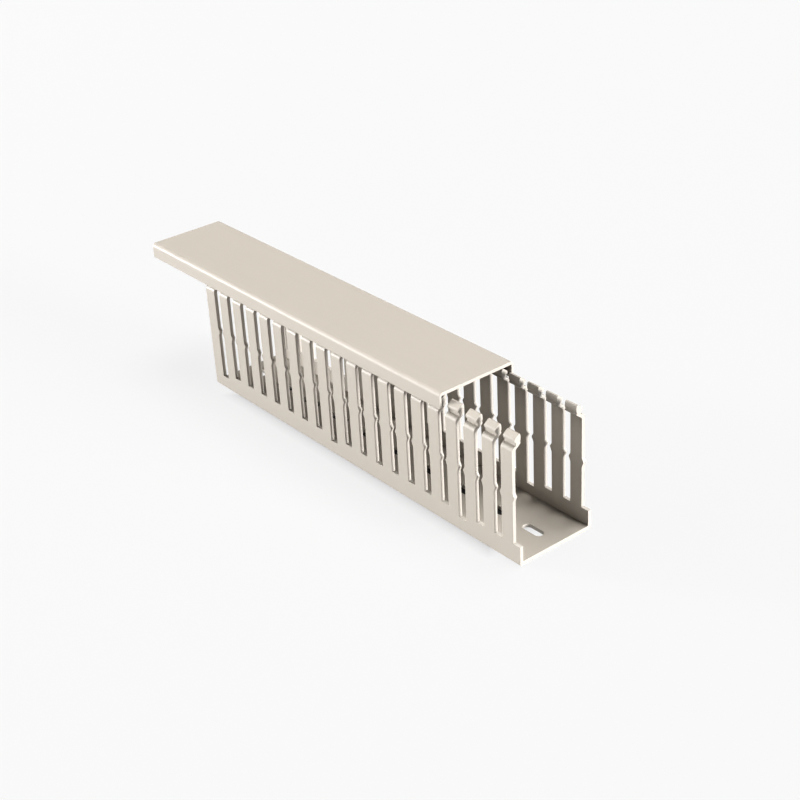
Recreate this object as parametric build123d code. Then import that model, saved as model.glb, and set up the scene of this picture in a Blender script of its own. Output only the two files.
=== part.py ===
from build123d import *
import os

# Slotted wire duct with its hooked cover, a cut sample of each.
# X runs along the duct, Y across it and Z up from the mounting face.
# The origin is the middle of the duct's underside.
# Every size is in millimetres.

# Duct stock
duct_length = 250.0
duct_width = 46.0
wall = 2.0
floor_thickness = 2.0
root_radius = 0.8

# Comb of slots, one pitch apart, punched through both walls
slot_pitch = 12.5
slot_width = 5.0
slot_bottom = 10.3
mark_depth = 3.1
mark_every = 8
first_mark = 3
first_slot_inset = 2.0

# Wire-retaining nibs on both sides of each slot
nib_height = 35.3
nib_reach = 1.2
nib_rise = 1.9
nib_fall = 2.8

# Finger head, its outer face: shoulder, groove for the cover's lip, nose and ramp
shoulder_height = 61.1
shoulder_radius = 2.5
neck_inset = 2.6
groove_height = 2.1
groove_droop = 0.3
nose_inset = 1.7
nose_face = 1.4
nose_radius = 1.2
ramp_run = 2.7
ramp_rise = 2.0
tip_flat = 0.8

# Finger head, its inner face: heel, notch and bevel
neck_thickness = 3.0
heel_drop = 2.2
heel_radius = 1.5
heel_step = 1.0
heel_lead = 0.3
notch_rise = 1.5
notch_half = 0.9
notch_depth = 0.4
tip_bevel = 1.2

# Oblong mounting slots in the floor, on the centre line
mount_pitch = 25.0
mount_slot_length = 12.5
mount_slot_width = 5.0
first_mount_inset = 15.5

# Cover
cover_length = 250.0
cover_overhang = 52.5
cover_proud = 0.4
cover_thickness = 1.8
cover_edge_radius = 2.2
flange_thickness = 1.4
lip_thickness = 0.9
lip_hold = 0.5
lip_chamfer = 0.5
lip_clearance = 0.4
tip_clearance = 1.6

# Heights and places that follow from the sizes above
half_width = duct_width / 2
near_end = duct_length / 2
nose_height = shoulder_height + groove_height
tip_height = nose_height + nose_face + ramp_rise
same_place = 0.001


def outer_face():
    """Outer face of a wall, as (inset, height) pairs from the floor to the tip."""
    return [
        (0.0, 0.0),
        (0.0, shoulder_height),
        (neck_inset, shoulder_height),
        (neck_inset, nose_height - groove_droop),
        (nose_inset, nose_height),
        (nose_inset, nose_height + nose_face),
        (nose_inset + ramp_run, tip_height),
    ]


def inner_face():
    """Inner face of a wall, as (inset, height) pairs from the tip to the floor."""
    inside = neck_inset + neck_thickness
    notch_height = shoulder_height + notch_rise
    return [
        (nose_inset + ramp_run + tip_flat, tip_height),
        (inside, tip_height - tip_bevel),
        (inside, notch_height + notch_half),
        (inside - notch_depth, notch_height),
        (inside, notch_height - notch_half),
        (inside - heel_step, shoulder_height - heel_lead),
        (wall, shoulder_height - heel_drop),
        (wall, floor_thickness),
    ]


def corner(section, across, up):
    """The section's corner at one place."""
    found = section.vertices().filter_by(
        lambda v: abs(v.X - across) < same_place and abs(v.Y - up) < same_place
    )
    return found[0]


def extruded(section, length, centre_x):
    """A section drawn in the YZ plane, pushed along X about centre_x."""
    start = Plane.YZ.offset(centre_x - length / 2)
    return extrude(start * section, length)


def duct_section():
    """The whole U of the duct, both walls with their finger heads."""
    front = [(inset - half_width, up) for inset, up in outer_face() + inner_face()]
    back = [(-across, up) for across, up in reversed(front)]
    section = make_face(Polyline(*front, *back, close=True))
    rounded = [
        (0.0, 0.0, root_radius),
        (0.0, shoulder_height, shoulder_radius),
        (nose_inset, nose_height + nose_face, nose_radius),
        (wall, shoulder_height - heel_drop, heel_radius),
    ]
    for inset, up, radius in rounded:
        across = half_width - inset
        section = fillet([corner(section, -across, up), corner(section, across, up)], radius)
    return section


def places(first_inset, pitch, hole_length):
    """X of each hole of a row that starts at the near end and stays in the duct."""
    count = int((duct_length - first_inset - hole_length / 2) / pitch) + 1
    return [near_end - first_inset - index * pitch for index in range(count)]


def punched(outline):
    """A cutter through both walls, from its outline in (along, up) pairs."""
    plane = Plane.XZ.offset(-duct_width)
    return extrude(plane * make_face(Polyline(*outline, close=True)), 2 * duct_width)


def slot_cutter(centre_x, bottom):
    """One slot, with the nibs left standing on its two sides."""
    half = slot_width / 2
    top = tip_height + wall
    side = [
        (half, bottom),
        (half, nib_height - nib_fall),
        (half - nib_reach, nib_height),
        (half, nib_height + nib_rise),
        (half, top),
    ]
    right = [(centre_x + along, up) for along, up in side]
    left = [(centre_x - along, up) for along, up in reversed(side)]
    return punched(right + left)


def sawn_slot_cutter():
    """The rest of the first slot, which the saw cut leaves open at the near end."""
    start = near_end - first_slot_inset
    stop = near_end + slot_pitch
    top = tip_height + wall
    return punched([(start, slot_bottom), (stop, slot_bottom), (stop, top), (start, top)])


def comb_cutters():
    """Every slot of the comb, the deeper mark slots among them."""
    cutters = [sawn_slot_cutter()]
    for index, centre_x in enumerate(places(first_slot_inset, slot_pitch, slot_width)):
        is_mark = index % mark_every == first_mark
        bottom = slot_bottom - mark_depth if is_mark else slot_bottom
        cutters.append(slot_cutter(centre_x, bottom))
    return cutters


def mount_cutters():
    """The oblong holes in the floor."""
    oblong = SlotOverall(mount_slot_length, mount_slot_width)
    hole = extrude(oblong, 2 * floor_thickness, both=True)
    return [Pos(x, 0, 0) * hole for x in places(first_mount_inset, mount_pitch, mount_slot_length)]


def duct_base():
    """The channel with its two walls of fingers, one punched extrusion."""
    body = extruded(duct_section(), duct_length, 0.0)
    return body - comb_cutters() - mount_cutters()


def cover_section():
    """The flat top, its two flanges and the lips that hook under the noses."""
    outer = half_width + cover_proud
    inner = outer - flange_thickness
    underside = tip_height + tip_clearance
    top = underside + cover_thickness
    lip_top = nose_height - groove_droop - lip_clearance
    foot = lip_top - lip_thickness
    lip_tip = half_width - nose_inset - lip_hold
    right = [
        (outer, top),
        (outer, foot),
        (lip_tip + lip_chamfer, foot),
        (lip_tip, foot + lip_chamfer),
        (lip_tip, lip_top),
        (inner, lip_top),
        (inner, underside),
    ]
    left = [(-across, up) for across, up in reversed(right)]
    section = make_face(Polyline(*right, *left, close=True))
    edges = [corner(section, -outer, top), corner(section, outer, top)]
    return fillet(edges, cover_edge_radius)


def duct_cover():
    """The flat cover, one extrusion, left standing back from the near end."""
    centre_x = near_end - cover_overhang - cover_length / 2
    return extruded(cover_section(), cover_length, centre_x)


os.makedirs("parts", exist_ok=True)
export_step(duct_base(), "parts/duct_base.step")
export_step(duct_cover(), "parts/duct_cover.step")
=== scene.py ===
import math
import random

import bmesh
import bpy
from mathutils import Matrix, Vector


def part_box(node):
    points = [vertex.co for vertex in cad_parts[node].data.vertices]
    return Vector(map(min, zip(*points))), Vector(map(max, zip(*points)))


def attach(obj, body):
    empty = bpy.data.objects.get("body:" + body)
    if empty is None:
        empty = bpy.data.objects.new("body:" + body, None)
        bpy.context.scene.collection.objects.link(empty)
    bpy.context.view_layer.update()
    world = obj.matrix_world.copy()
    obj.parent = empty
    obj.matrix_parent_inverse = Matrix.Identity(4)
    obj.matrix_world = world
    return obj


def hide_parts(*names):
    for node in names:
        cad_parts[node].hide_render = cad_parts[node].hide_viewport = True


# Slotted wire duct with its hooked cover, dressed as warm grey rigid PVC.
# Shapes are drawn in millimetres and brought to metres when each piece is done.
# X runs along the duct, Y across it and Z up from the mounting face.

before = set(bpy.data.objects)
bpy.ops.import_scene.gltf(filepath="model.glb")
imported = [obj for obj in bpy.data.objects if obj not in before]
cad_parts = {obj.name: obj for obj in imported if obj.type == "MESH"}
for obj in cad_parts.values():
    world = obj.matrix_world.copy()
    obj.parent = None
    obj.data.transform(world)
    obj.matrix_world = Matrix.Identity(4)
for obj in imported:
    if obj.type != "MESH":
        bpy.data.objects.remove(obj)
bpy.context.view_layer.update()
MM = 0.001

# Places read from the frame
duct_low, duct_high = [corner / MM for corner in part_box("duct_base")]
cover_low, cover_high = [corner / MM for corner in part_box("duct_cover")]
half_width = duct_high.y
near_end = duct_high.x
far_end = duct_low.x
tip_height = duct_high.z

# Duct stock
wall = 2.0
floor_thickness = 2.0
root_radius = 0.8

# Comb of slots
slot_pitch = 12.5
slot_width = 5.0
slot_bottom = 10.3
mark_depth = 3.1
mark_every = 8
first_mark = 3
first_slot_inset = 2.0

# Wire-retaining nibs
nib_height = 35.3
nib_reach = 1.2
nib_rise = 1.9
nib_fall = 2.8

# Finger head, its outer face
shoulder_height = 61.1
shoulder_radius = 2.5
neck_inset = 2.6
nose_height = 63.2
groove_droop = 0.3
nose_inset = 1.7
nose_face = 1.4
nose_radius = 1.2
tip_inset = 4.4
tip_flat = 0.8

# Finger head, its inner face
neck_thickness = 3.0
heel_drop = 2.2
heel_radius = 1.5
heel_step = 1.0
heel_lead = 0.3
notch_rise = 1.5
notch_half = 0.9
notch_depth = 0.4
tip_bevel = 1.2

# Oblong mounting slots, and half the width of the floor strip that holds them
mount_pitch = 25.0
mount_slot_length = 12.5
mount_slot_width = 5.0
first_mount_inset = 15.5
mount_strip = 4.5
mount_segments = 32

# Cover
cover_thickness = 1.8
flange_thickness = 1.4
cover_edge_radius = 2.2
lip_thickness = 0.9
lip_tip_inset = 2.2
lip_chamfer = 0.5
cover_round_steps = 8

# Rounding that the tools leave on the edges
punched_round = 0.16
extruded_round = 0.12
sharp_angle = math.radians(28.0)

# Evening of the shading over flat faces and their roundings
smooth_angle = math.radians(32.0)
normals_weight = 60

# Steps of each rounding
root_steps = 4
shoulder_steps = 4
head_steps = 3
edge_steps = 2

# Seed and size of the small irregularities of the punched fingers
finger_seed = 41
finger_lean = 0.10
nib_wear = 0.12

# Limits that tell places and faces of a mesh apart
same_place = 0.001
merge_distance = 0.0005
hole_margin = 0.1
centre_margin = 1.0
facing_up = 0.9
facing_end = 0.5

# Colours of the stock, and how rough each finish is
duct_colour = (0.357, 0.329, 0.292)
cover_colour = (0.361, 0.332, 0.296)
punched_colour = (0.425, 0.40, 0.366)
sawn_colour = (0.442, 0.417, 0.383)
duct_roughness = 0.5
cover_roughness = 0.54
punched_roughness = 0.55
sawn_roughness = 0.6
roughness_swing = 1.5

# Depth of each finish's relief
skin_relief = 0.02
punched_relief = 0.06
sawn_relief = 0.08

# Optics of rigid PVC
refraction = 1.53
gloss_level = 0.31

# The floor glows softly, as a lit white sweep does
floor_half_size = 4.0
floor_albedo = 0.042
floor_glow = 0.86
floor_roughness = 0.9
floor_gloss = 0.1

# Painted shade on the floor under the duct: the floor's glow fades out there
shade_half_length = 102.0
shade_half_width = 21.5
shade_reach = 9.0
shade_fall = 0.12

# Strength of the sky, and the tone of the picture: under 1 it deepens the shades
sky_strength = 0.05
picture_gamma = 0.8

# Camera, fitted to the photograph's 800 pixel frame
frame_pixels = 800.0
focal_pixels = 1576.06
centre_row = 398.0
camera_place = Vector((562.28, -428.51, 419.40))
camera_azimuth = math.radians(142.034)
camera_elevation = math.radians(28.875)
camera_roll = math.radians(-3.284)
sensor_width = 36.0
nearest_seen = 0.01

# Material indices, in the order in which a piece takes its materials
SKIN, PUNCHED, SAWN = 0, 1, 2


def eased(before, corner, after, radius, steps):
    """Points of the arc that rounds one corner of an outline."""
    into = (Vector(corner) - Vector(before)).normalized()
    out = (Vector(after) - Vector(corner)).normalized()
    half_turn = into.angle(out) / 2
    centre = Vector(corner) + (out - into).normalized() * (radius / math.cos(half_turn))
    start = Vector(corner) - into * radius * math.tan(half_turn) - centre
    stop = Vector(corner) + out * radius * math.tan(half_turn) - centre
    shares = [step / steps for step in range(steps + 1)]
    return [tuple(centre + radius * start.slerp(stop, share).normalized()) for share in shares]


def head_outer():
    """Outer face of a finger's head from the shoulder up, as (inset, height) pairs."""
    foot = (0.0, slot_bottom)
    shoulder = (0.0, shoulder_height)
    neck = (neck_inset, shoulder_height)
    nose_foot = (nose_inset, nose_height)
    nose_top = (nose_inset, nose_height + nose_face)
    tip = (tip_inset, tip_height)
    round_shoulder = eased(foot, shoulder, neck, shoulder_radius, shoulder_steps)
    round_nose = eased(nose_foot, nose_top, tip, nose_radius, head_steps)
    return [
        *round_shoulder[:-1],
        neck,
        (neck_inset, nose_height - groove_droop),
        nose_foot,
        *round_nose,
        tip,
    ]


def head_inner():
    """Inner face of a finger's head from the heel up, one point for each of head_outer."""
    inside = neck_inset + neck_thickness
    notch_height = shoulder_height + notch_rise
    heel = (wall, shoulder_height - heel_drop)
    above_heel = (inside - heel_step, shoulder_height - heel_lead)
    tip = (tip_inset + tip_flat, tip_height)
    bevel_middle = ((inside + tip[0]) / 2, tip_height - tip_bevel / 2)
    return [
        *eased((wall, slot_bottom), heel, above_heel, heel_radius, head_steps),
        above_heel,
        (inside, notch_height - notch_half),
        (inside - notch_depth, notch_height),
        (inside, notch_height + notch_half),
        (inside, tip_height - 2 * tip_bevel),
        (inside, tip_height - tip_bevel),
        bevel_middle,
        tip,
    ]


def finger_rows():
    """Rows of a finger above its root, each with its outer and its inner (inset, height)."""
    nib_rows = [nib_height - nib_fall, nib_height, nib_height + nib_rise]
    straight = [((0.0, height), (wall, height)) for height in nib_rows]
    return straight + list(zip(head_outer(), head_inner(), strict=True))


def slot_centres():
    """X of each slot, the first one at the near end."""
    count = int((near_end - far_end - first_slot_inset - slot_width / 2) / slot_pitch) + 1
    return [near_end - first_slot_inset - index * slot_pitch for index in range(count)]


def mount_centres():
    """X of each oblong mounting slot, the first one at the near end."""
    count = int((near_end - far_end - first_mount_inset - mount_slot_length / 2) / mount_pitch) + 1
    return [near_end - first_mount_inset - index * mount_pitch for index in range(count)]


def finger_spans():
    """Low and high X of each finger, from the far end to the near one."""
    edges = [far_end]
    for centre in reversed(slot_centres()):
        edges += [centre - slot_width / 2, centre + slot_width / 2]
    return list(zip(edges[0::2], edges[1::2]))


def flat_face(bm, x, outline):
    """One flat face across the duct at x, from (across, up) pairs."""
    return bm.faces.new([bm.verts.new((x, across, up)) for across, up in outline])


def rounded_corners(bm, corners, radius, steps):
    """Rounds corners of the lone flat face in bm, and returns the new face."""
    bmesh.ops.bevel(
        bm, geom=corners, affect="VERTICES", offset=radius, offset_type="OFFSET",
        segments=steps, profile=0.5, material=-1,
    )
    return next(iter(bm.faces))


def corners_near(bm, places):
    """The vertices at the given (across, up) places."""
    found = []
    for vertex in bm.verts:
        if any((vertex.co.yz - Vector(place)).length < same_place for place in places):
            found.append(vertex)
    return found


def grown(bm, faces):
    """Extrudes faces with their edges, and returns the new faces and vertices."""
    region = list(faces) + list({edge for face in faces for edge in face.edges})
    made = bmesh.ops.extrude_face_region(bm, geom=region)["geom"]
    new_faces = [item for item in made if isinstance(item, bmesh.types.BMFace)]
    new_corners = [item for item in made if isinstance(item, bmesh.types.BMVert)]
    return new_faces, new_corners


def pushed_along(bm, face, stops):
    """Extrudes a flat face along X, with a ring of edges at every stop."""
    ends = [face]
    for stop in stops:
        ends, corners = grown(bm, ends)
        for corner in corners:
            corner.co.x = stop
    bmesh.ops.recalc_face_normals(bm, faces=bm.faces)


def raised(bm, faces, height):
    """Extrudes level faces straight up to a height and returns their new tops."""
    tops, corners = grown(bm, faces)
    for corner in corners:
        corner.co.z = height
    return tops


def in_span(x, spans):
    """The span that holds x, or None."""
    return next((span for span in spans if span[0] < x < span[1]), None)


def low_channel(bm):
    """The floor and the low walls, up to the bottoms of the deepest slots."""
    top = slot_bottom - mark_depth
    outline = [
        (-half_width, 0.0),
        (-mount_strip, 0.0),
        (mount_strip, 0.0),
        (half_width, 0.0),
        (half_width, top),
        (half_width - wall, top),
        (half_width - wall, floor_thickness),
        (mount_strip, floor_thickness),
        (-mount_strip, floor_thickness),
        (-half_width + wall, floor_thickness),
        (-half_width + wall, top),
        (-half_width, top),
    ]
    flat_face(bm, far_end, outline)
    roots = corners_near(bm, [(-half_width, 0.0), (half_width, 0.0)])
    face = rounded_corners(bm, roots, root_radius, root_steps)
    stops = sorted({edge for span in finger_spans() for edge in span} | {near_end})
    pushed_along(bm, face, [stop for stop in stops if stop > far_end])


def level_tops(bm, height):
    """The faces that look up at one height."""
    return [
        face for face in bm.faces
        if face.normal.z > facing_up and abs(face.calc_center_median().z - height) < same_place
    ]


def plain_slot_sills(bm):
    """Raises the low walls to the plain slots' bottoms, all but at the mark slots."""
    marks = [
        (centre - slot_width / 2, min(centre + slot_width / 2, near_end))
        for index, centre in enumerate(slot_centres())
        if index % mark_every == first_mark
    ]
    tops = level_tops(bm, slot_bottom - mark_depth)
    plain = [face for face in tops if not in_span(face.calc_center_median().x, marks)]
    raised(bm, plain, slot_bottom)


def nib_shape(height):
    """How far the finger's side stands out at one height, from 0 to 1."""
    if nib_height - nib_fall < height <= nib_height:
        return (height - nib_height + nib_fall) / nib_fall
    if nib_height < height < nib_height + nib_rise:
        return (nib_height + nib_rise - height) / nib_rise
    return 0.0


def fingers(bm):
    """Raises every finger of both walls, one station of the section after another."""
    draw = random.Random(finger_seed)
    spans = finger_spans()
    lean = {}
    nib_size = {}
    for span in spans:
        for side in (-1, 1):
            lean[span, side] = draw.uniform(-finger_lean, finger_lean)
            nib_size[span, side] = nib_reach - draw.uniform(0.0, nib_wear)
    tops = [
        face for face in level_tops(bm, slot_bottom)
        if in_span(face.calc_center_median().x, spans)
    ]
    for row in finger_rows():
        tops = raised(bm, tops, row[0][1])
        for top in tops:
            middle = top.calc_center_median()
            side = 1 if middle.y > 0 else -1
            span = in_span(middle.x, spans)
            placed = [
                (vertex, vertex.co.x > middle.x, abs(vertex.co.y) > abs(middle.y))
                for vertex in top.verts
            ]
            for vertex, is_near, is_outer in placed:
                inset, height = row[0] if is_outer else row[1]
                reach = nib_size[span, side] * nib_shape(height)
                far_reach = reach if span[0] > far_end else 0.0
                share = (height - slot_bottom) / (tip_height - slot_bottom)
                sway = share * lean[span, side]
                across = side * (half_width - inset)
                along = span[1] + reach + sway if is_near else span[0] - far_reach + sway
                vertex.co = (along, across, height)


def oblong_ring(bm, x, height):
    """The closed ring of one mounting slot's edge."""
    radius = mount_slot_width / 2
    stretch = (mount_slot_length - mount_slot_width) / 2
    turned = Matrix.Rotation(math.pi / mount_segments, 4, "Z")
    place = Matrix.Translation((0.0, 0.0, height)) @ turned
    circle = bmesh.ops.create_circle(bm, segments=mount_segments, radius=radius, matrix=place)
    for vertex in circle["verts"]:
        vertex.co.x += x + math.copysign(stretch, vertex.co.x)
    return list({edge for vertex in circle["verts"] for edge in vertex.link_edges})


def mounting_slots(bm):
    """Opens the middle strip of the floor and fills it again around the oblong holes."""
    strip = [
        face for face in bm.faces
        if abs(face.normal.z) > facing_up
        and abs(face.calc_center_median().y) < centre_margin
        and face.calc_center_median().z < floor_thickness + same_place
    ]
    bmesh.ops.delete(bm, geom=strip, context="FACES")
    rings = {}
    for height in (0.0, floor_thickness):
        rim = [
            edge for edge in bm.edges
            if edge.is_boundary and all(abs(v.co.z - height) < same_place for v in edge.verts)
        ]
        rings[height] = [oblong_ring(bm, x, height) for x in mount_centres()]
        around = [edge for ring in rings[height] for edge in ring]
        bmesh.ops.triangle_fill(bm, use_beauty=True, edges=rim + around)
    for low_ring, high_ring in zip(rings[0.0], rings[floor_thickness]):
        bmesh.ops.bridge_loops(bm, edges=low_ring + high_ring)


def finish_of_faces(bm, low_x, high_x):
    """Marks each face as extruded skin, punched or sawn."""
    bmesh.ops.recalc_face_normals(bm, faces=bm.faces)
    for face in bm.faces:
        middle = face.calc_center_median()
        at_end = min(abs(middle.x - low_x), abs(middle.x - high_x)) < same_place
        on_wall = abs(middle.y) > half_width - wall
        is_sill = on_wall and face.normal.z > facing_up and middle.z < slot_bottom + same_place
        inside_floor = hole_margin < middle.z < floor_thickness - hole_margin
        in_hole = abs(middle.y) < mount_strip and inside_floor
        faces_end = abs(face.normal.x) > facing_end
        if faces_end and at_end:
            face.material_index = SAWN
        elif faces_end or is_sill or in_hole:
            face.material_index = PUNCHED


def softened_edges(bm, edges):
    """Rounds edges a little, as the punch and the saw leave them."""
    bmesh.ops.bevel(
        bm, geom=edges, affect="EDGES", offset=punched_round, offset_type="OFFSET",
        segments=edge_steps, profile=0.5, material=-1, clamp_overlap=True,
    )


def piece_from(bm, name, body, node, materials):
    """Brings a finished bmesh to metres as one piece that stands for its CAD node."""
    bmesh.ops.remove_doubles(bm, verts=bm.verts, dist=merge_distance)
    bmesh.ops.recalc_face_normals(bm, faces=bm.faces)
    bmesh.ops.scale(bm, vec=(MM, MM, MM), verts=bm.verts)
    mesh = bpy.data.meshes.new(name)
    bm.to_mesh(mesh)
    bm.free()
    mesh.shade_smooth()
    mesh.set_sharp_from_angle(angle=smooth_angle)
    for material in materials:
        mesh.materials.append(material)
    piece = bpy.data.objects.new(name, mesh)
    bpy.context.scene.collection.objects.link(piece)
    even = piece.modifiers.new("even_normals", "WEIGHTED_NORMAL")
    even.keep_sharp = True
    even.weight = normals_weight
    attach(piece, body)
    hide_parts(node)


def duct_channel(materials):
    """The punched channel with its two walls of fingers."""
    bm = bmesh.new()
    low_channel(bm)
    plain_slot_sills(bm)
    fingers(bm)
    mounting_slots(bm)
    finish_of_faces(bm, far_end, near_end)
    softened_edges(bm, [
        edge for edge in bm.edges
        if edge.is_manifold and edge.calc_face_angle(0.0) > sharp_angle
    ])
    piece_from(bm, "channel", "duct", "duct_base", materials)


def cover_lid(materials):
    """The flat cover with its hooked flanges."""
    outer = cover_high.y
    inner = outer - flange_thickness
    top = cover_high.z
    foot = cover_low.z
    underside = top - cover_thickness
    lip_top = foot + lip_thickness
    lip_tip = half_width - lip_tip_inset
    right = [
        (outer, top),
        (outer, foot),
        (lip_tip + lip_chamfer, foot),
        (lip_tip, foot + lip_chamfer),
        (lip_tip, lip_top),
        (inner, lip_top),
        (inner, underside),
    ]
    left = [(-across, up) for across, up in reversed(right)]
    bm = bmesh.new()
    flat_face(bm, cover_low.x, right + left)
    top_edges = corners_near(bm, [(-outer, top), (outer, top)])
    rounded_corners(bm, top_edges, cover_edge_radius, cover_round_steps)
    small_places = [(side * across, up) for side in (-1, 1) for across, up in right[1:]]
    face = rounded_corners(bm, corners_near(bm, small_places), extruded_round, edge_steps)
    pushed_along(bm, face, [cover_high.x])
    finish_of_faces(bm, cover_low.x, cover_high.x)
    softened_edges(bm, [
        edge for edge in bm.edges
        if {face.material_index for face in edge.link_faces} == {SKIN, SAWN}
    ])
    piece_from(bm, "cover", "cover", "duct_cover", materials)


def new_group(name):
    """A shader group that turns a Vector and an Amount into a Height and a Tone, still empty."""
    tree = bpy.data.node_groups.new(name, "ShaderNodeTree")
    tree.interface.new_socket("Vector", in_out="INPUT", socket_type="NodeSocketVector")
    amount = tree.interface.new_socket("Amount", in_out="INPUT", socket_type="NodeSocketFloat")
    amount.default_value = 1.0
    for label in ("Height", "Tone"):
        tree.interface.new_socket(label, in_out="OUTPUT", socket_type="NodeSocketFloat")
    return tree, tree.nodes.new("NodeGroupInput"), tree.nodes.new("NodeGroupOutput")


def stretched(tree, source, scale):
    """The coordinates, drawn out differently along X, Y and Z."""
    node = tree.nodes.new("ShaderNodeMapping")
    node.inputs["Scale"].default_value = scale
    tree.links.new(source, node.inputs["Vector"])
    return node.outputs["Vector"]


def noise(tree, vector, size, detail, roughness):
    """Noise with features of about a size in millimetres."""
    node = tree.nodes.new("ShaderNodeTexNoise")
    node.inputs["Scale"].default_value = 1.0 / (size * MM)
    node.inputs["Detail"].default_value = detail
    node.inputs["Roughness"].default_value = roughness
    tree.links.new(vector, node.inputs["Vector"])
    return node.outputs["Fac"]


def maths(tree, operation, first, second):
    """One step of arithmetic on values or sockets."""
    node = tree.nodes.new("ShaderNodeMath")
    node.operation = operation
    for socket, value in zip(node.inputs, (first, second)):
        if isinstance(value, bpy.types.NodeSocket):
            tree.links.new(value, socket)
        else:
            socket.default_value = value
    return node.outputs["Value"]


def centred(tree, value, amount):
    """A 0 to 1 pattern as a swing about nought of the given size."""
    return maths(tree, "MULTIPLY", maths(tree, "SUBTRACT", value, 0.5), amount)


def die_line_group():
    """Long fine lines that the extrusion die draws along the stock."""
    tree, start, end = new_group("die_lines")
    fine_lines = stretched(tree, start.outputs["Vector"], (0.012, 1.0, 1.0))
    broad_bands = stretched(tree, start.outputs["Vector"], (0.02, 1.0, 1.0))
    fine = noise(tree, fine_lines, size=0.55, detail=3.0, roughness=0.65)
    broad = noise(tree, broad_bands, size=5.0, detail=1.0, roughness=0.5)
    tree.links.new(centred(tree, fine, start.outputs["Amount"]), end.inputs["Height"])
    tree.links.new(centred(tree, broad, start.outputs["Amount"]), end.inputs["Tone"])
    return tree


def satin_group():
    """The fine satin grain of rigid PVC."""
    tree, start, end = new_group("satin_grain")
    grain = noise(tree, start.outputs["Vector"], size=0.35, detail=3.0, roughness=0.6)
    cloud = noise(tree, start.outputs["Vector"], size=28.0, detail=3.0, roughness=0.55)
    tree.links.new(centred(tree, grain, start.outputs["Amount"]), end.inputs["Height"])
    tree.links.new(centred(tree, cloud, start.outputs["Amount"]), end.inputs["Tone"])
    return tree


def tool_mark_group():
    """Close straight marks that a blade or punch leaves on a cut face."""
    tree, start, end = new_group("tool_marks")
    across_wall = stretched(tree, start.outputs["Vector"], (1.0, 0.1, 1.0))
    marks = noise(tree, across_wall, size=0.35, detail=4.0, roughness=0.7)
    chips = noise(tree, start.outputs["Vector"], size=1.2, detail=2.0, roughness=0.5)
    marks_share = maths(tree, "MULTIPLY", marks, 0.6)
    chips_share = maths(tree, "MULTIPLY", chips, 0.4)
    both = maths(tree, "ADD", marks_share, chips_share)
    tree.links.new(centred(tree, both, start.outputs["Amount"]), end.inputs["Height"])
    tree.links.new(centred(tree, chips, start.outputs["Amount"]), end.inputs["Tone"])
    return tree


def placed_group(tree, group, vector, amount):
    """One use of a group in a material."""
    node = tree.nodes.new("ShaderNodeGroup")
    node.node_tree = group
    node.inputs["Amount"].default_value = amount
    tree.links.new(vector, node.inputs["Vector"])
    return node


def pvc(name, colour, roughness, effects, relief):
    """Rigid PVC of one finish. Each effect is a (group, height amount, tone share)."""
    material = bpy.data.materials.new(name)
    material.use_nodes = True
    tree = material.node_tree
    shader = tree.nodes["Principled BSDF"]
    shader.inputs["IOR"].default_value = refraction
    shader.inputs["Roughness"].default_value = roughness
    shader.inputs["Specular IOR Level"].default_value = gloss_level
    vector = tree.nodes.new("ShaderNodeTexCoord").outputs["Object"]
    height, tone = 0.0, 0.0
    for group, amount, tone_share in effects:
        node = placed_group(tree, group, vector, amount)
        height = maths(tree, "ADD", height, node.outputs["Height"])
        tone = maths(tree, "ADD", tone, maths(tree, "MULTIPLY", node.outputs["Tone"], tone_share))
    shade = tree.nodes.new("ShaderNodeHueSaturation")
    shade.inputs["Color"].default_value = (*colour, 1.0)
    tree.links.new(maths(tree, "ADD", tone, 1.0), shade.inputs["Value"])
    tree.links.new(shade.outputs["Color"], shader.inputs["Base Color"])
    swing = maths(tree, "MULTIPLY", tone, roughness_swing)
    tree.links.new(maths(tree, "ADD", swing, roughness), shader.inputs["Roughness"])
    bump = tree.nodes.new("ShaderNodeBump")
    bump.inputs["Distance"].default_value = relief * MM
    bump.inputs["Strength"].default_value = 1.0
    tree.links.new(height, bump.inputs["Height"])
    tree.links.new(bump.outputs["Normal"], shader.inputs["Normal"])
    return material


def finishes(stock, skin_colour, skin_roughness):
    """The finishes of one piece in the order of their indices: skin, punched, sawn."""
    skin = [(die_lines, 0.6, 0.05), (satin_grain, 0.5, 0.05)]
    punched = [(tool_marks, 1.0, 0.08), (satin_grain, 0.3, 0.04)]
    sawn = [(tool_marks, 1.2, 0.10), (satin_grain, 0.3, 0.04)]
    return [
        pvc(f"{stock}_skin", skin_colour, skin_roughness, skin, skin_relief),
        pvc(f"{stock}_punched", punched_colour, punched_roughness, punched, punched_relief),
        pvc(f"{stock}_sawn", sawn_colour, sawn_roughness, sawn, sawn_relief),
    ]


def outside(tree, value, half):
    """How far a coordinate lies beyond a half size given in millimetres."""
    return maths(tree, "SUBTRACT", maths(tree, "ABSOLUTE", value, 0.0), half * MM)


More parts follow.
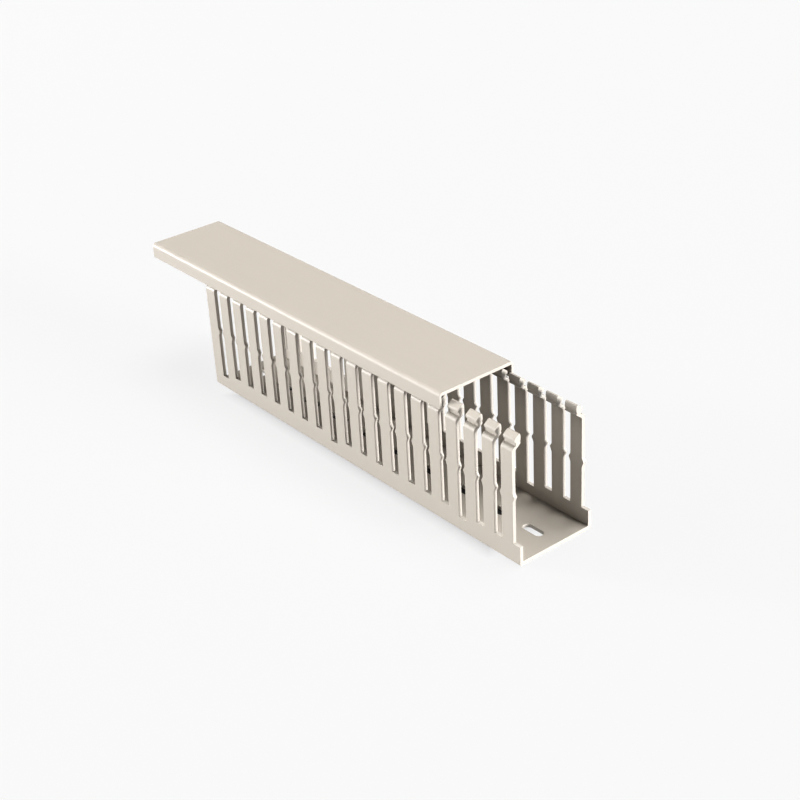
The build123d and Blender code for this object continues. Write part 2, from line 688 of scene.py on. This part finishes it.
def studio_ground():
    """A plain white sweep under the duct, with a painted shade where the duct stands on it: its glow
    fades out there.
    """
    bm = bmesh.new()
    bmesh.ops.create_grid(bm, x_segments=1, y_segments=1, size=floor_half_size)
    mesh = bpy.data.meshes.new("ground")
    bm.to_mesh(mesh)
    bm.free()
    ground = bpy.data.objects.new("ground", mesh)
    bpy.context.scene.collection.objects.link(ground)
    material = bpy.data.materials.new("white_ground")
    material.use_nodes = True
    tree = material.node_tree
    shader = tree.nodes["Principled BSDF"]
    shader.inputs["Base Color"].default_value = (floor_albedo, floor_albedo, floor_albedo, 1.0)
    shader.inputs["Roughness"].default_value = floor_roughness
    shader.inputs["Specular IOR Level"].default_value = floor_gloss
    shader.inputs["Emission Strength"].default_value = floor_glow
    place = tree.nodes.new("ShaderNodeSeparateXYZ")
    tree.links.new(tree.nodes.new("ShaderNodeTexCoord").outputs["Object"], place.inputs["Vector"])
    # Painted shade: the glow is nought under the duct's footprint and comes back within shade_reach
    # outside it
    along = outside(tree, place.outputs["X"], shade_half_length)
    across = outside(tree, place.outputs["Y"], shade_half_width)
    clear = maths(tree, "MAXIMUM", maths(tree, "MAXIMUM", along, across), 0.0)
    share = maths(tree, "MINIMUM", maths(tree, "DIVIDE", clear, shade_reach * MM), 1.0)
    painted_shade_glow = maths(tree, "POWER", share, shade_fall)
    tree.links.new(painted_shade_glow, shader.inputs["Emission Color"])
    mesh.materials.append(material)


def studio_light(name, azimuth, elevation, strength, softness):
    """Even white light. Its azimuth runs from +X towards +Y, and softness is its width in degrees."""
    data = bpy.data.lights.new(name, "SUN")
    data.energy = strength
    data.angle = math.radians(softness)
    lamp = bpy.data.objects.new(name, data)
    around, up = math.radians(azimuth), math.radians(elevation)
    towards = Vector((math.cos(up) * math.cos(around), math.cos(up) * math.sin(around), math.sin(up)))
    lamp.rotation_mode = "QUATERNION"
    lamp.rotation_quaternion = towards.to_track_quat("Z", "Y")
    lamp.location = towards
    bpy.context.scene.collection.objects.link(lamp)


def studio():
    """A key light on the open end, soft light from above and a fill on the front wall."""
    studio_ground()
    studio_light("key", azimuth=15.0, elevation=11.0, strength=6.4, softness=20.0)
    studio_light("overhead", azimuth=95.0, elevation=72.0, strength=4.1, softness=34.0)
    studio_light("front_high", azimuth=-143.0, elevation=31.0, strength=1.5, softness=46.0)
    studio_light("front_fill", azimuth=-149.0, elevation=2.0, strength=10.2, softness=16.0)
    world = bpy.data.worlds.new("studio")
    world.use_nodes = True
    sky = world.node_tree.nodes["Background"]
    sky.inputs["Color"].default_value = (1.0, 1.0, 1.0, 1.0)
    sky.inputs["Strength"].default_value = sky_strength
    bpy.context.scene.world = world
    bpy.context.scene.view_settings.view_transform = "Standard"
    bpy.context.scene.view_settings.gamma = picture_gamma


def photograph_camera():
    """The camera at the photograph's place, height and roll."""
    level = math.cos(camera_elevation)
    forward = Vector((
        level * math.cos(camera_azimuth),
        level * math.sin(camera_azimuth),
        -math.sin(camera_elevation),
    ))
    right = forward.cross(Vector((0.0, 0.0, 1.0))).normalized()
    up = right.cross(forward)
    turned_right = math.cos(camera_roll) * right + math.sin(camera_roll) * up
    turned_up = math.cos(camera_roll) * up - math.sin(camera_roll) * right
    data = bpy.data.cameras.new("camera")
    data.sensor_width = sensor_width
    data.lens = sensor_width * focal_pixels / frame_pixels
    data.shift_y = (centre_row - frame_pixels / 2) / frame_pixels
    data.clip_start = nearest_seen
    camera = bpy.data.objects.new("camera", data)
    turn = Matrix((turned_right, turned_up, -forward)).transposed()
    camera.matrix_world = Matrix.Translation(camera_place * MM) @ turn.to_4x4()
    bpy.context.scene.collection.objects.link(camera)
    bpy.context.scene.camera = camera


die_lines = die_line_group()
satin_grain = satin_group()
tool_marks = tool_mark_group()

duct_channel(finishes("duct", duct_colour, duct_roughness))
cover_lid(finishes("cover", cover_colour, cover_roughness))
studio()
photograph_camera()
